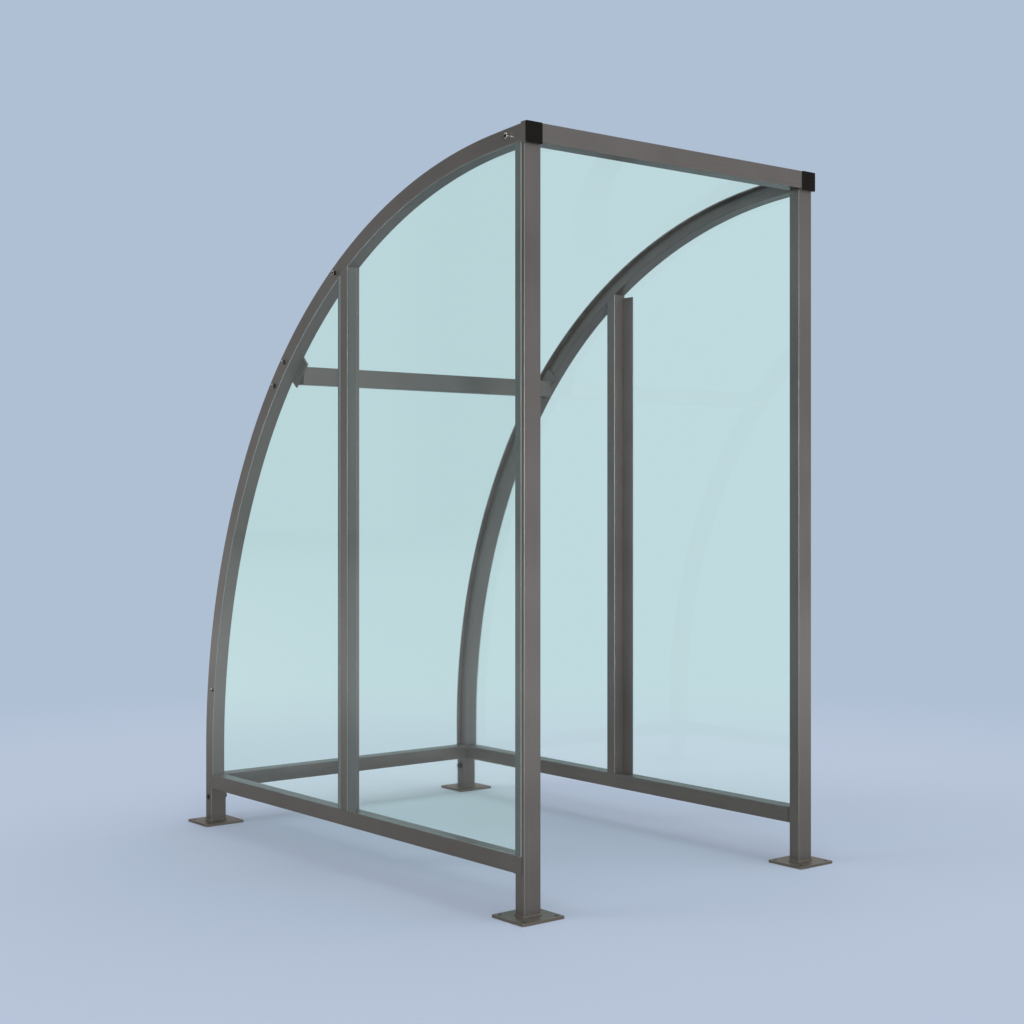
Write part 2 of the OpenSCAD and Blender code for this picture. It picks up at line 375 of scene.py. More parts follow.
def along_run(tree, spot, run):
    """The place that streaks are read at: drawn out along X, Y or Z, or round the arch."""
    stretched = add_node(tree, "ShaderNodeMapping")
    if run != "arch":
        scale = [streak_stretch if axis == run else 1 for axis in "XYZ"]
        stretched.inputs["Scale"].default_value = scale
        wire(tree, (spot, stretched.inputs[0]))
        return stretched.outputs[0]
    offset = add_node(tree, "ShaderNodeVectorMath", operation="SUBTRACT", in_1=upper_centre)
    flat = add_node(tree, "ShaderNodeVectorMath", operation="MULTIPLY", in_1=(0, 1, 1))
    reach = add_node(tree, "ShaderNodeVectorMath", operation="LENGTH")
    split = add_node(tree, "ShaderNodeSeparateXYZ")
    joined = add_node(tree, "ShaderNodeCombineXYZ")
    wire(
        tree,
        (spot, offset.inputs[0]),
        (offset.outputs[0], flat.inputs[0]),
        (flat.outputs[0], reach.inputs[0]),
        (spot, split.inputs[0]),
        (split.outputs[0], joined.inputs[0]),
        (reach.outputs["Value"], joined.inputs[1]),
        (joined.outputs[0], stretched.inputs[0]),
    )
    return stretched.outputs[0]


def coated_steel(name, run, tone=coat_tone, rough=0.30):
    """Satin metallic coat with streaks along run: X, Y, Z, or the arch's own curve."""
    material = new_material(name)
    tree = material.node_tree
    spot = add_node(tree, "ShaderNodeTexCoord").outputs["Object"]
    streaks = add_noise(tree, along_run(tree, spot, run), 260, 3, 0.6)
    drift = add_noise(tree, spot, 3.5, 2)
    pebble = add_noise(tree, spot, 1500, 2)
    sum_up = add_node(tree, "ShaderNodeMath", operation="MULTIPLY_ADD", in_1=0.55)
    dark, light = shade_of(tone, 0.88), shade_of(tone, 1.16)
    tones = add_ramp(tree, sum_up.outputs[0], (0.42, dark), (1.0, light))
    sheen = add_range(tree, streaks, 0.3, 0.75, rough - 0.02, rough + 0.03)
    coat = add_node(tree, "ShaderNodeBsdfPrincipled")
    coat.inputs["Metallic"].default_value = 0.45
    coat.inputs["Specular IOR Level"].default_value = 0.35
    coat.inputs["Specular Tint"].default_value = grey(0.5)
    wire(
        tree,
        (streaks, sum_up.inputs[0]),
        (drift, sum_up.inputs[2]),
        (tones, coat.inputs["Base Color"]),
        (sheen, coat.inputs["Roughness"]),
        (add_bump(tree, pebble, 0.10, 0.2 * mm), coat.inputs["Normal"]),
        (coat.outputs[0], tree.nodes["Material Output"].inputs[0]),
    )
    return material


steel = {run: coated_steel("coated_steel_" + run, run) for run in ("X", "Y", "Z", "arch")}
plate_steel = coated_steel("coated_steel_plate", "X", plate_tone, 0.42)
print("coated steel in", len(steel), "directions, and plate steel")

# %% [markdown]
# ## Clear sea-green sheet
#
# The panes and the bent sheets are 4 mm clear sheet with a slight sea-green tint. Their
# edges are ground, so they look deeper and half frosted. The face is clear glass that
# lets lamp light and bounced light through unbent, so that the floor gets the pale, soft
# shadow that such a sheet casts. How strongly a sheet mirrors at a slant follows from
# its IOR, and a low one keeps the bent sheets from turning pale.

# %% Clear sheet
def clear_sheet(name, tint, shade, waviness, index=1.25, clear_share=1):
    """Clear tinted sheet. Lamps shine through it with the colour shade."""
    material = new_material(name)
    tree = material.node_tree
    spot = add_node(tree, "ShaderNodeTexCoord").outputs["Object"]
    waves = add_noise(tree, spot, 2.2, 1)
    sheet = add_node(tree, "ShaderNodeBsdfPrincipled")
    sheet.inputs["Base Color"].default_value = tint
    sheet.inputs["Transmission Weight"].default_value = clear_share
    sheet.inputs["IOR"].default_value = index
    open_way = add_node(tree, "ShaderNodeBsdfTransparent", in_0=shade)
    path = add_node(tree, "ShaderNodeLightPath").outputs
    either = add_math(tree, "MAXIMUM", path["Is Shadow Ray"], path["Is Diffuse Ray"])
    choose = add_node(tree, "ShaderNodeMixShader")
    wire(
        tree,
        (add_range(tree, waves, 0.3, 0.7, 0.0, 0.03), sheet.inputs["Roughness"]),
        (add_bump(tree, waves, waviness, 2 * mm), sheet.inputs["Normal"]),
        (either, choose.inputs[0]),
        (sheet.outputs[0], choose.inputs[1]),
        (open_way.outputs[0], choose.inputs[2]),
        (choose.outputs[0], tree.nodes["Material Output"].inputs[0]),
    )
    return material


pane_tint, bent_tint = (0.955, 0.978, 0.972, 1), (0.93, 0.955, 0.95, 1)
edge_tint, edge_shade = (0.42, 0.52, 0.50, 1), (0.55, 0.70, 0.68, 1)
sheet_shade = (0.87, 0.91, 0.90, 1)
pane_face = clear_sheet("clear_sheet_face", pane_tint, sheet_shade, 0.05)
pane_edge = clear_sheet("clear_sheet_edge", edge_tint, edge_shade, 0.3, clear_share=0.3)
bent_face = clear_sheet("clear_sheet_bent", bent_tint, sheet_shade, 0.05, index=1.04)
print("clear sheet made")

# %% [markdown]
# ## Cap plastic, strip, weld and fasteners
#
# The tube ends are shut with black moulded caps that have a fine matt grain. The screws
# are bright stainless, with painted shade in their sockets and on the flanks of the
# smaller ones, and the hexagon bolts on the legs are dark.
# One recipe serves all of these small finishes: a tone and a gloss that drift a little,
# and a fine grain as bump.

# %% Small finishes
def plain_finish(name, tone, metallic, rough, grain, depth, specular=0.5):
    """A finish whose tone and gloss drift a little, with a fine grain."""
    material = new_material(name)
    tree = material.node_tree
    spot = add_node(tree, "ShaderNodeTexCoord").outputs["Object"]
    drift = add_noise(tree, spot, 40, 2)
    fine = add_noise(tree, spot, grain, 2)
    tones = add_ramp(tree, drift, (0.3, shade_of(tone, 0.82)), (0.7, shade_of(tone, 1.18)))
    gloss = add_range(tree, drift, 0.3, 0.7, rough - 0.05, rough + 0.05)
    body = add_node(tree, "ShaderNodeBsdfPrincipled")
    body.inputs["Metallic"].default_value = metallic
    body.inputs["Specular IOR Level"].default_value = specular
    wire(
        tree,
        (tones, body.inputs["Base Color"]),
        (gloss, body.inputs["Roughness"]),
        (add_bump(tree, fine, depth, 0.2 * mm), body.inputs["Normal"]),
        (body.outputs[0], tree.nodes["Material Output"].inputs[0]),
    )
    return material


cap_plastic = plain_finish("black_cap_plastic", (0.008, 0.0076, 0.007), 0, 0.5, 900, 0.25, 0.08)
bright_bolt = plain_finish("stainless_bolt", (0.62, 0.60, 0.56), 1, 0.22, 700, 0.05)
# The blackened finish is the leg bolts' own colour. It also serves as painted shade in the screws'
# sockets and on the flanks of the smaller screws.
dark_bolt_and_shade = plain_finish("blackened_bolt_and_painted_shade", (0.045, 0.045, 0.048), 0.7, 0.38, 700, 0.15)
# The weld is toned darker and browner than the tube coat, so a dark band runs round each tube's
# foot.
weld_metal = plain_finish("coated_weld", (0.120, 0.108, 0.092), 0.5, 0.45, 220, 0.6)
# The strips' tone is painted lighter than the tube coat, to lift the shade that falls on them
# under the sheets and beside the arches.
strip_painted_lighter = plain_finish("coated_strip_painted_lighter", (0.200, 0.196, 0.188), 0.5, 0.40, 900, 0.1)
print("small finishes made")

# %% [markdown]
# ## Modelling helpers
#
# Square tube is drawn the way a mill makes it: the outline of its section, with rounded
# corners, is pulled along the tube's run, and the wall gets its thickness afterwards.
# A box with bevelled edges would look alike from outside, but would have no open ends.
# Every operator acts on what is selected, so each helper first clears the selection.

# %% Selecting
def select_only(*pieces):
    """Selects these objects alone, with the last one active."""
    bpy.ops.object.select_all(action="DESELECT")
    for piece in pieces:
        piece.select_set(True)
    bpy.context.view_layer.objects.active = pieces[-1]


def set_in_mesh():
    """Moves an object's place, turn and scale into its mesh."""
    bpy.ops.object.transform_apply(location=True, rotation=True, scale=True)


def edit_all():
    """Enters edit mode with everything selected."""
    bpy.ops.object.mode_set(mode="EDIT")
    bpy.ops.mesh.select_all(action="SELECT")


def pick(piece, kind, test):
    """Selects only the vertices or faces of a piece for which test is true, in edit mode."""
    bpy.context.view_layer.objects.active = piece
    bpy.ops.object.mode_set(mode="EDIT")
    bpy.ops.mesh.select_mode(type=kind)
    bpy.ops.mesh.select_all(action="DESELECT")
    bpy.ops.object.mode_set(mode="OBJECT")
    for part in piece.data.vertices if kind == "VERT" else piece.data.polygons:
        part.select = bool(test(part))
    bpy.ops.object.mode_set(mode="EDIT")


print("selection helpers ready")

# %% Outline, pull and turn
def start_outline(name, centre, size, normal, radius=0.0, steps=4):
    """Adds the outline of a section, with rounded corners, left selected in edit mode."""
    turns = {"X": (0, math.pi / 2, 0), "Y": (math.pi / 2, 0, 0), "Z": (0, 0, 0)}
    sizes = {"X": (size[2], size[1], 1), "Y": (size[0], size[2], 1), "Z": (size[0], size[1], 1)}
    bpy.ops.object.select_all(action="DESELECT")
    bpy.ops.mesh.primitive_plane_add(size=1, location=centre, rotation=turns[normal])
    piece = bpy.context.object
    piece.name = name
    piece.scale = sizes[normal]
    set_in_mesh()
    edit_all()
    if radius > 0:
        bpy.ops.mesh.bevel(offset=radius, segments=steps, affect="VERTICES")
    bpy.ops.mesh.select_all(action="SELECT")
    bpy.ops.mesh.delete(type="ONLY_FACE")
    bpy.ops.mesh.select_all(action="SELECT")
    return piece


def pull(x=0, y=0, z=0):
    """Extrudes what is selected by a distance."""
    bpy.ops.mesh.extrude_region_move(TRANSFORM_OT_translate={"value": (x, y, z)})


def turn(centre, angle):
    """Sweeps what is selected round a centre, about X, in steps of about one degree.

    With no window, spin turns the other way, so the angle changes its sign."""
    count = max(2, round(abs(angle) / math.radians(1)))
    bpy.ops.mesh.spin(steps=count, angle=-angle, center=centre, axis=(1, 0, 0))


def close_up(piece):
    """Leaves edit mode with doubles merged and every face outwards."""
    bpy.ops.mesh.select_all(action="SELECT")
    bpy.ops.mesh.remove_doubles(threshold=0.01 * mm)
    bpy.ops.mesh.normals_make_consistent(inside=False)
    bpy.ops.object.mode_set(mode="OBJECT")


def fill_end(piece, test):
    """Closes an open end whose vertices pass test."""
    pick(piece, "VERT", test)
    bpy.ops.mesh.edge_face_add()


print("outline helpers ready")

# %% Walls, soft edges and cuts
def apply_modifier(piece, kind, **values):
    """Adds a modifier and applies it at once."""
    select_only(piece)
    added = piece.modifiers.new(kind.lower(), kind)
    for key, value in values.items():
        setattr(added, key, value)
    bpy.ops.object.modifier_apply(modifier=added.name)


def give_wall(piece):
    """Gives a tube's outer faces their wall, inwards."""
    apply_modifier(piece, "SOLIDIFY", thickness=tube_wall, offset=-1, use_even_offset=True)


def soften(piece, width, segments=2, sharper_than=60):
    """Bevels the edges whose faces meet at a sharper angle than this, in degrees."""
    limit = {"limit_method": "ANGLE", "angle_limit": math.radians(sharper_than)}
    apply_modifier(piece, "BEVEL", width=width, segments=segments, **limit)


def cut_with(piece, cutter, operation="DIFFERENCE"):
    """Cuts a piece with another mesh, which is then thrown away."""
    apply_modifier(piece, "BOOLEAN", operation=operation, object=cutter, solver="EXACT")
    bpy.data.objects.remove(cutter)


def cut_box(piece, corner0, corner1):
    """Cuts a box out of a piece."""
    bpy.ops.object.select_all(action="DESELECT")
    bpy.ops.mesh.primitive_cube_add(size=1, location=(Vector(corner0) + Vector(corner1)) / 2)
    cutter = bpy.context.object
    cutter.scale = Vector(corner1) - Vector(corner0)
    set_in_mesh()
    cut_with(piece, cutter)


def add_rod(sides, radius, length, centre):
    """Adds an upright rod, round or with a few flat sides."""
    bpy.ops.object.select_all(action="DESELECT")
    size = {"vertices": sides, "radius": radius, "depth": length}
    bpy.ops.mesh.primitive_cylinder_add(**size, location=centre)
    set_in_mesh()
    return bpy.context.object


def foot_of(a, b):
    """The middle of the underside of a box."""
    return Vector(((a.x + b.x) / 2, (a.y + b.y) / 2, a.z))


def solid_bar(name, a, b, radius, steps):
    """A solid upright bar or plate between two corners, with rounded corners."""
    piece = start_outline(name, foot_of(a, b), b - a, "Z", radius, steps)
    bpy.ops.mesh.edge_face_add()
    pull(z=b.z - a.z)
    close_up(piece)
    return piece


print("shaping helpers ready")

# %% [markdown]
# A finished piece is shaded smooth only where faces meet at a small angle, and weighted
# normals keep the wide flats flat beside the narrow rounded corners. It then rides on
# the frame's one body, takes its finish slot, and hides the plain solid it stands for.
# The shelter is the same on both sides, so most pieces are made on the left and copied
# to the right. A mirrored mesh is inside out, so its normals are set right again.

# %% Finishing helpers
smooth_below = math.radians(35)


def finish_piece(piece, material, node=None):
    """Shades, paints and places a finished piece, and says how well it fits its solid."""
    select_only(piece)
    bpy.ops.object.shade_smooth_by_angle(angle=smooth_below)
    apply_modifier(piece, "WEIGHTED_NORMAL", keep_sharp=True)
    if len(piece.data.materials) == 0:
        piece.data.materials.append(material)
    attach(piece, "root")
    note = ""
    if node:
        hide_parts(node)
        corners = [v.co for v in piece.data.vertices]
        lowest = Vector([min(c[i] for c in corners) for i in range(3)])
        highest = Vector([max(c[i] for c in corners) for i in range(3)])
        off = max(abs(a) for a in (*(lowest - low(node)), *(highest - high(node))))
        note = f", within {off / mm:.2f} mm of {node}"
    print(f"{piece.name}: {len(piece.data.polygons)} faces{note}")


def mirrored(piece):
    """A copy of a left piece on the right side of the shelter, with its own mesh."""
    select_only(piece)
    bpy.ops.object.duplicate()
    copy = bpy.context.object
    copy.name = piece.name.replace("left", "right")
    copy.scale = (-1, 1, 1)
    set_in_mesh()
    edit_all()
    bpy.ops.mesh.normals_make_consistent(inside=False)
    bpy.ops.object.mode_set(mode="OBJECT")
    return copy


def finish_pair(piece, material, node):
    """Finishes a left piece and its mirrored copy, which stand for the pair of solids."""
    other = mirrored(piece)
    finish_piece(piece, material, node)
    finish_piece(other, material, node.replace("left", "right"))


print("finishing helpers ready")

# %% [markdown]
# ## Straight tubes
#
# Posts, rails, the front beam and the cross rail are cold-formed square tube: a 3 mm wall
# and corners rounded to just over that, which is what catches the bright line down each
# corner. The cut ends are eased by about a millimetre, so that a fine dark seam shows
# where two tubes butt. Where a sleeve passes through a post or the beam, a boolean cut
# makes room for it, as a saw does.

# %% Straight tubes
corner = 3.2 * mm
ease = 1.1 * mm
spare = 20 * mm


def straight_tube(name, node, run):
    """A square tube in the place of a solid, along run."""
    a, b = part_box(node)
    at = "XYZ".index(run)
    start = (a + b) / 2
    start[at] = a[at]
    piece = start_outline(name, start, b - a, run, corner)
    way = [0, 0, 0]
    way[at] = b[at] - a[at]
    pull(*way)
    close_up(piece)
    give_wall(piece)
    soften(piece, ease)
    return piece


for side in ("left", "right"):
    rail = straight_tube("side_rail_tube_" + side, "bottom_rail_" + side, "Y")
    finish_piece(rail, steel["Y"], "bottom_rail_" + side)

    post = straight_tube("post_tube_" + side, "post_" + side, "Z")
    a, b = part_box("beam_sleeve_" + side)
    cut_box(post, a - Vector((spare, spare, 0)), b + Vector((spare, 0, 0)))
    finish_piece(post, steel["Z"], "post_" + side)

for name, node in (("rear_rail_tube", "bottom_rail_rear"), ("cross_rail_tube", "cross_rail")):
    finish_piece(straight_tube(name, node, "X"), steel["X"], node)

beam = straight_tube("front_beam_tube", "front_beam", "X")
for side in ("left", "right"):
    a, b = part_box("beam_sleeve_" + side)
    cut_box(beam, a - Vector((0, spare, spare)), b + Vector((0, 0, spare)))
finish_piece(beam, steel["X"], "front_beam")

# %% [markdown]
# ## Bent arches
#
# Each arch is one square tube, bent to two radii in a rolling machine. A curve object
# with a bevel could follow the same line, but its section would be hard to keep square.
# So the outline is pulled up from the leg, swept round the lower centre, swept on round
# the upper centre, and pulled straight to the beam, where it is cut upright. The same
# sweep, with other sections, makes the bent sheets and the strips that they lie on.

# %% Sweep along the arch
past_front = 0.4


def along_arch(
    name, x0, x1, deep0, deep1, foot=None, turn0=None, turn1=straight_turn, front=None, radius=0.0
):
    """Sweeps a section along the arch's line, between two depths below its outer face.

    It starts upright from a foot, or at turn0 of the upper bend. It ends at turn1, or runs
    straight on to front, where it is cut upright."""
    x, deep = (x0 + x1) / 2, (deep0 + deep1) / 2
    size = (x1 - x0, deep1 - deep0, 0)
    if foot is not None:
        piece = start_outline(name, (x, rear_y - deep, foot), size, "Z", radius)
        pull(z=lower_centre.z - foot)
        turn(lower_centre, bend_turn)
        begin = bend_turn
    else:
        start = Vector((x, upper_centre.y + upper_radius - deep, upper_centre.z))
        piece = start_outline(name, start, size, "Z", radius)
        bpy.ops.object.mode_set(mode="OBJECT")
        there, back = Matrix.Translation(upper_centre), Matrix.Translation(-upper_centre)
        piece.matrix_world = there @ Matrix.Rotation(turn0, 4, "X") @ back
        set_in_mesh()
        edit_all()
        begin = turn0
    turn(upper_centre, turn1 - begin)
    if front is not None:
        pull(y=-past_front * math.sin(straight_turn), z=past_front * math.cos(straight_turn))
        bpy.ops.mesh.select_all(action="SELECT")
        bpy.ops.mesh.bisect(plane_co=(0, front, 0), plane_no=(0, 1, 0), clear_inner=True)
    return piece


def arch_height(y, deep):
    """Height of the arch's upper bend over a place y, at a depth below its outer face."""
    return upper_centre.z + math.sqrt((upper_radius - deep) ** 2 - (y - upper_centre.y) ** 2)


print("sweep ready")

# %% [markdown]
# A fine upright seam crosses the arch's outer side above the mullion. It is cut as a
# real groove, because a line that is only painted on has no depth to hold a shadow.

# %% Arches
a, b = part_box("arch_left")
groove_wide, groove_deep = 1.4 * mm, 0.9 * mm
ends = {"foot": a.z, "front": a.y}
arch = along_arch("arch_tube_left", side_x, arch_in_x, 0, tube_side, radius=corner, **ends)
fill_end(arch, lambda v: v.co.z < a.z + hair)
close_up(arch)
give_wall(arch)
soften(arch, ease)
groove_y = low("side_pane_rear_left").y - 1 * mm
groove_z = arch_height(groove_y, tube_side)
cut_box(
    arch,
    (side_x - 10 * mm, groove_y, groove_z - 10 * mm),
    (side_x + groove_deep, groove_y + groove_wide, groove_z + 80 * mm),
)
finish_pair(arch, steel["arch"], "arch_left")

# %% [markdown]
# ## Legs, feet and welds
#
# Each arch stands on a short leg of flat tube, shut at the top. All four feet are
# 8 mm plates with rounded corners and eased edges, and four drilled anchor holes. The
# tubes are welded to them all round with a small fillet.

# %% Rear legs
a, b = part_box("rear_leg_left")
leg = start_outline("rear_leg_tube_left", foot_of(a, b), b - a, "Z", corner)
pull(z=b.z - a.z)
bpy.ops.mesh.edge_face_add()
close_up(leg)
give_wall(leg)
soften(leg, ease)
finish_pair(leg, steel["Z"], "rear_leg_left")

# %% Base plates
plate_corner = 5 * mm
hole_radius = 6 * mm
hole_inset = 17 * mm
drill_length = 50 * mm


def drill(piece, spot):
    """Drills an anchor hole down through a plate."""
    cut_with(piece, add_rod(32, hole_radius, drill_length, spot))


for place in ("front_left", "rear_left"):
    a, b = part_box("base_plate_" + place)
    plate = solid_bar("foot_plate_" + place, a, b, plate_corner, 6)
    for x in (a.x + hole_inset, b.x - hole_inset):
        for y in (a.y + hole_inset, b.y - hole_inset):
            drill(plate, (x, y, (a.z + b.z) / 2))
    soften(plate, 1 * mm, sharper_than=50)
    finish_pair(plate, plate_steel, "base_plate_" + place)

# %% Weld fillets
weld_size = 5 * mm
weld_profile = ((1.5, 0.12), (0.55, 0.55), (0.02, 0.40), (-0.4, 0), (-0.4, -1.07))


def weld_round(name, node):
    """A fillet weld round the foot of an upright tube.

    The profile gives, in weld sizes, how far out each ring stands and how much it rises."""
    a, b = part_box(node)
    middle = foot_of(a, b)
    across = Vector((b.x - a.x, b.y - a.y, 0))
    now = across + Vector((2, 2, 0)) * weld_size
    piece = start_outline(name, middle, now, "Z", corner + weld_size * 0.6, 5)
    for out_by, rise in weld_profile:
        to = across + Vector((out_by, out_by, 0)) * weld_size
        pull(z=weld_size * rise)
        bpy.ops.transform.resize(value=(to.x / now.x, to.y / now.y, 1), center_override=middle)
        now = to
    close_up(piece)
    pick(piece, "VERT", lambda v: v.co.z < a.z + hair)
    bpy.ops.mesh.bridge_edge_loops()
    close_up(piece)
    apply_modifier(piece, "SUBSURF", levels=2, render_levels=2)
    finish_piece(piece, weld_metal)


for side in ("left", "right"):
    weld_round("foot_weld_front_" + side, "post_" + side)
    weld_round("foot_weld_rear_" + side, "rear_leg_" + side)

# %% [markdown]
# ## Mullions
#
# A mullion is a flat tube between the bottom rail and the arch, with a flat bar behind
# the edge of each pane. Its head is cut to the slope of the arch that it meets, and the
# wide bar in front ends square just below. The tube and the rear bar are pulled up too
# long and then cut by a sloping plane, which is how a saw would do it. A rebate runs
# down both faces of each bar where it meets the flat tube.

# %% Mullion cuts
def cut_head(piece, y0, y1):
    """Cuts the head of an upright part to the slope of the arch's underside."""
    head0 = Vector((0, y0, arch_height(y0, tube_side)))
    head1 = Vector((0, y1, arch_height(y1, tube_side)))
    slope = (head1 - head0).normalized()
    across = (0, -slope.z, slope.y)
    edit_all()
    bpy.ops.mesh.bisect(plane_co=head0, plane_no=across, use_fill=True, clear_outer=True)
    close_up(piece)


rebate_wide, rebate_deep = 1.4 * mm, 1.8 * mm


def rebated_bar(a, b, y0, y1):
    """A flat upright bar from a to b, with a rebate down both faces between y0 and y1."""
    bar = solid_bar("bar", a, b, 0.8 * mm, 2)
    z0, z1 = a.z - spare, b.z + spare
    cut_box(bar, (a.x - spare, y0, z0), (a.x + rebate_deep, y1, z1))
    cut_box(bar, (b.x - rebate_deep, y0, z0), (b.x + spare, y1, z1))
    return bar


# %% Mullions
a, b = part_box("mullion_left")
back_y = low("side_pane_rear_left").y - 1 * mm
face_y = back_y - 40 * mm
tube0, tube1 = Vector((side_x, face_y, a.z)), Vector((side_x + 50 * mm, back_y, a.z))
mullion = start_outline("mullion_bar_left", foot_of(tube0, tube1), tube1 - tube0, "Z", 3.4 * mm)
pull(z=b.z - a.z + 5 * mm)
close_up(mullion)
give_wall(mullion)
cut_head(mullion, face_y, back_y)

bar_x0, bar_x1 = side_x + 4.4 * mm, side_x + 9 * mm
front_bar = rebated_bar(
    Vector((bar_x0, a.y, a.z)),
    Vector((bar_x1, face_y, b.z - 10 * mm)),
    face_y - rebate_wide,
    face_y + 1 * mm,
)
rear_bar = rebated_bar(
    Vector((bar_x0, back_y, a.z)),
    Vector((bar_x1, b.y, b.z)),
    back_y - 1 * mm,
    back_y + rebate_wide,
)
cut_head(rear_bar, back_y, b.y)
select_only(front_bar, rear_bar, mullion)
bpy.ops.object.join()
finish_pair(mullion, steel["Z"], "mullion_left")

# %% [markdown]
# ## Sleeves and end caps
#
# At each top corner a square sleeve closes the end of the beam over the post and the
# arch. A black plastic cap is pushed into its open front: a thin plain lip with soft
# edges, and a plug inside the tube. The cap's back is inset and pulled in, so the plug
# grows out of the lip as one moulding.

# %% Sleeves and caps
a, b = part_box("beam_sleeve_left")
back_middle = Vector(((a.x + b.x) / 2, b.y, (a.z + b.z) / 2))
sleeve = start_outline("corner_sleeve_left", back_middle, b - a, "Y", corner)
pull(y=a.y - b.y)
fill_end(sleeve, lambda v: v.co.y > b.y - hair)
close_up(sleeve)
give_wall(sleeve)
soften(sleeve, ease)
finish_pair(sleeve, steel["Z"], "beam_sleeve_left")

lip = 2 * mm
plug_play = 0.2 * mm
a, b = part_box("beam_cap_left")
lip_back = Vector(((a.x + b.x) / 2, a.y + lip, (a.z + b.z) / 2))
cap = start_outline("end_cap_left", lip_back, b - a, "Y", corner)
bpy.ops.mesh.edge_face_add()
pull(y=-lip)
close_up(cap)
pick(cap, "FACE", lambda f: f.normal.y > 0.9)
bpy.ops.mesh.inset(thickness=tube_wall + plug_play)
pull(y=b.y - a.y - lip)
close_up(cap)
soften(cap, 0.8 * mm, segments=3)
finish_pair(cap, cap_plastic, "beam_cap_left")

# %% [markdown]
# ## Rail lugs and cross rail brackets
#
# A lug carries the line of the side pane past the post at the rail's front end. The
# cross rail is held by a flat bracket at each end, bent to follow the arch. Both are
# flat steel, so they are solid bars with barely eased edges.

# %% Lugs and brackets
for side in ("left", "right"):
    a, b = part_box("rail_lug_" + side)
    lug = solid_bar("rail_end_lug_" + side, a, b, 0.8 * mm, 2)
    soften(lug, 0.6 * mm)
    finish_piece(lug, steel["Y"], "rail_lug_" + side)

cross_turn = math.radians(42.8)
half_turn = 53 * mm / upper_radius
bracket_turns = {"turn0": cross_turn - half_turn, "turn1": cross_turn + half_turn}
a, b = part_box("cross_bracket_left")
bracket = along_arch("cross_rail_bracket_left", a.x, b.x, 10 * mm, 78 * mm, **bracket_turns)
bpy.ops.mesh.edge_face_add()


def begins_by(turn0):
    """A test for points of the arch no further round the upper centre than turn0."""
    def test(v):
        return math.atan2(v.co.z - upper_centre.z, v.co.y - upper_centre.y) < turn0 + hair
    return test


fill_end(bracket, begins_by(cross_turn - half_turn))
close_up(bracket)
soften(bracket, 0.8 * mm)
finish_pair(bracket, steel["arch"], "cross_bracket_left")

# %% [markdown]
# ## Seating strips
#
# The bent sheets lie on flat strips along the inner faces of the arches, a few
# millimetres down, so that the sheets are flush with the arches' outer faces. Behind the
# cross rail the sheets' edges meet under a cover strip with a web between them, and that
# solid keeps its own shape.

# %% Seating strips
a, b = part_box("seating_strip_left")
sheet_front = low("roof_sheet").y
strip = along_arch("seat_strip_left", a.x, b.x, 4 * mm, 9 * mm, foot=rail_top, front=sheet_front)
fill_end(strip, lambda v: v.co.z < rail_top + hair)
fill_end(strip, lambda v: v.co.y < sheet_front + hair)
close_up(strip)
soften(strip, 0.8 * mm)
# The strip takes the lighter painted tone, which lifts the shade under the sheet.
finish_pair(strip, strip_painted_lighter, "seating_strip_left")

# %% [markdown]
# ## Clear sheets
#
# The side panes stand on the bottom rail and end under the arch. The arch's lower line
# is spun first, pulled down and laid flat on the rail, which gives one row of faces with
# a smooth top. The bent sheets are swept along the arch. All edges are ground, with a
# fine bevel, and take the half frosted look of a ground edge. The sheets are a few
# tenths of a millimetre thinner than their solids, so they don't rub on the steel.

# %% Edge finish of a sheet
ground_edge = 0.6 * mm


def paint_edges(piece, is_edge, face_finish=pane_face):
    """Gives the faces of a sheet for which is_edge is true the look of a ground edge."""
    piece.data.materials.append(face_finish)
    piece.data.materials.append(pane_edge)
    for face in piece.data.polygons:
        face.material_index = 1 if is_edge(face) else 0


# %% Side panes
under_lower, under_upper = lower_radius - tube_side, upper_radius - tube_side


def turn_at(y):
    """Which bend of the arch's underside stands over y, and where on it."""
    if y >= upper_centre.y + under_upper * math.cos(bend_turn):
        return "lower", math.acos(min(1, (y - lower_centre.y) / under_lower))
    return "upper", math.acos((y - upper_centre.y) / under_upper)


def side_pane(name, node):
    """The outer face of a side pane, from its rear edge forwards under the arch."""
    a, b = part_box(node)
    bend, begin = turn_at(b.y)
    bends = {"lower": (lower_centre, under_lower), "upper": (upper_centre, under_upper)}
    centre, radius = bends[bend]
    start = Vector((a.x, centre.y + radius * math.cos(begin), centre.z + radius * math.sin(begin)))
    bpy.ops.object.select_all(action="DESELECT")
    bpy.ops.mesh.primitive_plane_add(size=10 * mm, location=start)
    piece = bpy.context.object
    piece.name = name
    set_in_mesh()
    edit_all()
    bpy.ops.mesh.merge(type="CENTER")
    bpy.ops.mesh.select_all(action="SELECT")
    if bend == "lower":
        turn(lower_centre, bend_turn - begin)
        begin = bend_turn
    turn(upper_centre, min(turn_at(a.y)[1], straight_turn) - begin)
    straight_run = upper_centre.y + under_upper * math.cos(straight_turn) - a.y
    if straight_run > hair:
        pull(y=-straight_run, z=straight_run / math.tan(straight_turn))
    bpy.ops.mesh.select_all(action="SELECT")
    pull()
    bpy.ops.transform.resize(value=(1, 1, 0), center_override=(0, 0, rail_top))
    close_up(piece)
    edit_all()
    bpy.ops.mesh.dissolve_limited(angle_limit=math.radians(0.05))
    bpy.ops.object.mode_set(mode="OBJECT")
    return piece


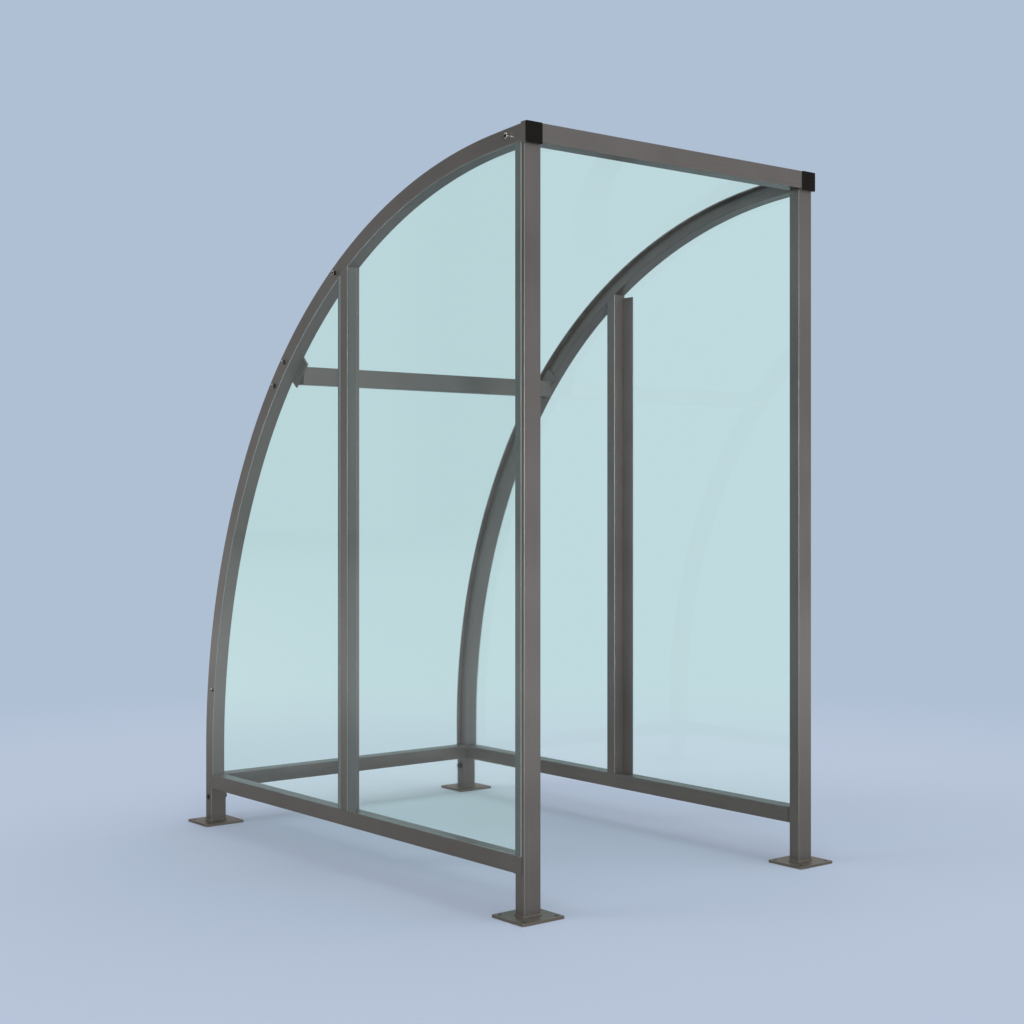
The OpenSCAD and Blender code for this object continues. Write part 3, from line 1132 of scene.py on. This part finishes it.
pane_play = 0.4 * mm
for place in ("front", "rear"):
    node = f"side_pane_{place}_left"
    pane = side_pane(f"clear_pane_{place}_left", node)
    edit_all()
    pull(x=high(node).x - low(node).x - pane_play)
    close_up(pane)
    soften(pane, ground_edge, segments=1)
    other = mirrored(pane)
    for piece, side in ((pane, "left"), (other, "right")):
        paint_edges(piece, lambda f: abs(f.normal.x) < 0.99)
        finish_piece(piece, pane_face, f"side_pane_{place}_{side}")

# %% Bent sheets
bent_thickness = 3.7 * mm
a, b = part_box("cross_rail")
rail_middle = (a.z + b.z) / 2
joint_turn = math.asin((rail_middle - upper_centre.z) / (upper_radius - 4 * mm))
web_turn = 1.5 * mm / upper_radius
gap_turn = 1 * mm / upper_radius
roof_begin = joint_turn + web_turn + gap_turn
back_end = joint_turn - web_turn - gap_turn

a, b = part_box("roof_sheet")
ends = {"turn0": roof_begin, "front": sheet_front}
roof = along_arch("bent_roof_sheet", a.x, b.x, 0, bent_thickness, **ends)
fill_end(roof, begins_by(roof_begin))
fill_end(roof, lambda v: v.co.y < sheet_front + hair)
close_up(roof)
ends = {"foot": rail_top, "turn1": back_end}
back = along_arch("bent_back_sheet", a.x, b.x, 0, bent_thickness, **ends)
bpy.ops.mesh.edge_face_add()
fill_end(back, lambda v: v.co.z < rail_top + hair)
close_up(back)


def is_bent_edge(face):
    """True for a ground edge. A bent sheet's own faces look to or from the bend's centre."""
    spot = face.center
    bends_meet = upper_centre.z + (spot.y - upper_centre.y) * math.tan(bend_turn)
    centre = upper_centre if spot.z > bends_meet else lower_centre
    ray = Vector((0, spot.y - centre.y, max(0, spot.z - centre.z))).normalized()
    return abs(face.normal.dot(ray)) < 0.97


for piece, node in ((roof, "roof_sheet"), (back, "back_sheet")):
    soften(piece, ground_edge, segments=1)
    paint_edges(piece, is_bent_edge, bent_face)
    finish_piece(piece, bent_face, node)

# %% [markdown]
# ## Fasteners
#
# Socket-head screws hold the arch to the beam, the mullion and the cross rail's
# brackets. Each rear leg has a flat hexagon bolt on its outer face and larger ones on
# its inner and rear faces. One of each is modelled at the origin, pointing up, with its
# socket or chamfer and its washer. Copies are turned into place, and then their place
# goes into their own mesh. A screw's thread is hidden, so it has none.

# %% Fastener models
def add_washer(head, radius, thickness):
    """Lays a washer under a head and joins the two."""
    washer = add_rod(36, radius, thickness, (0, 0, thickness / 2))
    soften(washer, thickness * 0.25, sharper_than=50)
    select_only(washer, head)
    bpy.ops.object.join()


def socket_screw(name, head_r, head_h, socket_r, washer_r, washer_t, dark_side=True):
    """A socket-head screw on a washer. Its socket gets painted shade, and its side may too."""
    head = add_rod(36, head_r, head_h, (0, 0, washer_t + head_h / 2))
    head.name = name
    cut_with(head, add_rod(6, socket_r, head_h, (0, 0, washer_t + head_h)))
    soften(head, head_h * 0.09, segments=3, sharper_than=50)
    add_washer(head, washer_r, washer_t)
    head.data.materials.append(bright_bolt)
    head.data.materials.append(dark_bolt_and_shade)
    # Faces in the socket, and on the side when asked, take the dark finish as painted shade.
    for face in head.data.polygons:
        spot = face.center
        above = spot.z > washer_t
        inside = above and math.hypot(spot.x, spot.y) < socket_r * 0.99
        shaded_flank = above and dark_side and abs(face.normal.z) < 0.3
        face.material_index = 1 if inside or shaded_flank else 0
    return head


def hexagon_bolt(name, across, head_h, washer_r, washer_t):
    """A hexagon bolt head on a washer. A cone takes off its upper corners."""
    middle = (0, 0, washer_t + head_h / 2)
    head = add_rod(6, across / math.sqrt(3), head_h, middle)
    head.name = name
    size = {"radius1": across * 0.5 + head_h * 1.5, "radius2": across * 0.47, "depth": head_h}
    bpy.ops.mesh.primitive_cone_add(vertices=48, **size, location=middle)
    cone = bpy.context.object
    set_in_mesh()
    cut_with(head, cone, "INTERSECT")
    add_washer(head, washer_r, washer_t)
    head.data.materials.append(dark_bolt_and_shade)
    return head


large_screw = socket_screw("large_screw", 8.5 * mm, 12 * mm, 4.8 * mm, 10.5 * mm, 2 * mm, False)
small_screw = socket_screw("small_screw", 7.2 * mm, 10 * mm, 3.9 * mm, 9 * mm, 1.6 * mm)
tiny_screw = socket_screw("tiny_screw", 5.8 * mm, 3.6 * mm, 2.8 * mm, 7 * mm, 1 * mm)
leg_bolt = hexagon_bolt("leg_bolt", 18 * mm, 7 * mm, 11.5 * mm, 2.5 * mm)
side_bolt = hexagon_bolt("side_bolt", 14 * mm, 4 * mm, 9 * mm, 1.5 * mm)
print("fastener models made")

# %% [markdown]
# The places of the screws are given in millimetres, back from the front face of the
# posts and up from the ground. The bolts sit in the middle of the legs' faces.

# %% Fasteners in place
screw_places = {
    "arch_screw_beam": (large_screw, 62, 2167),
    "arch_screw_mullion": (small_screw, 950, 1882),
    "arch_screw_bracket_upper": (small_screw, 1262, 1617),
    "arch_screw_bracket_lower": (small_screw, 1326, 1542),
    "arch_screw_low": (tiny_screw, 1760, 479),
}
leg_bolt_height = 93 * mm
front_face_y = low("post_left").y


def place_copy(model, name, at, out_way):
    """A copy of a fastener with its own mesh, pointing along out_way."""
    select_only(model)
    bpy.ops.object.duplicate()
    copy = bpy.context.object
    copy.name = name
    copy.rotation_euler = Vector(out_way).to_track_quat("Z", "Y").to_euler()
    copy.location = at
    set_in_mesh()
    finish_piece(copy, bright_bolt)


for side, sign in (("left", 1), ("right", -1)):
    for name, (model, back_by, up) in screw_places.items():
        at = Vector((sign * side_x, front_face_y + back_by * mm, up * mm))
        place_copy(model, f"{name}_{side}", at, (-sign, 0, 0))
    a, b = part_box("rear_leg_" + side)
    outer, inner = (a.x, b.x) if sign > 0 else (b.x, a.x)
    x, y = (a.x + b.x) / 2, (a.y + b.y) / 2
    place_copy(side_bolt, "leg_bolt_outer_" + side, (outer, y, leg_bolt_height), (-sign, 0, 0))
    place_copy(leg_bolt, "leg_bolt_inner_" + side, (inner, y, leg_bolt_height), (sign, 0, 0))
    place_copy(leg_bolt, "leg_bolt_rear_" + side, (x, b.y, leg_bolt_height), (0, 1, 0))
for model in (large_screw, small_screw, tiny_screw, leg_bolt, side_bolt):
    bpy.data.objects.remove(model)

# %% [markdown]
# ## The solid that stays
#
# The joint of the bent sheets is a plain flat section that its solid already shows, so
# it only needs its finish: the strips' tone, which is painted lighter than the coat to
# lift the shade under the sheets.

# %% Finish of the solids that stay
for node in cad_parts.values():
    if not node.hide_render:
        node.data.materials.clear()
        node.data.materials.append(strip_painted_lighter)
        print("kept solid:", node.name)
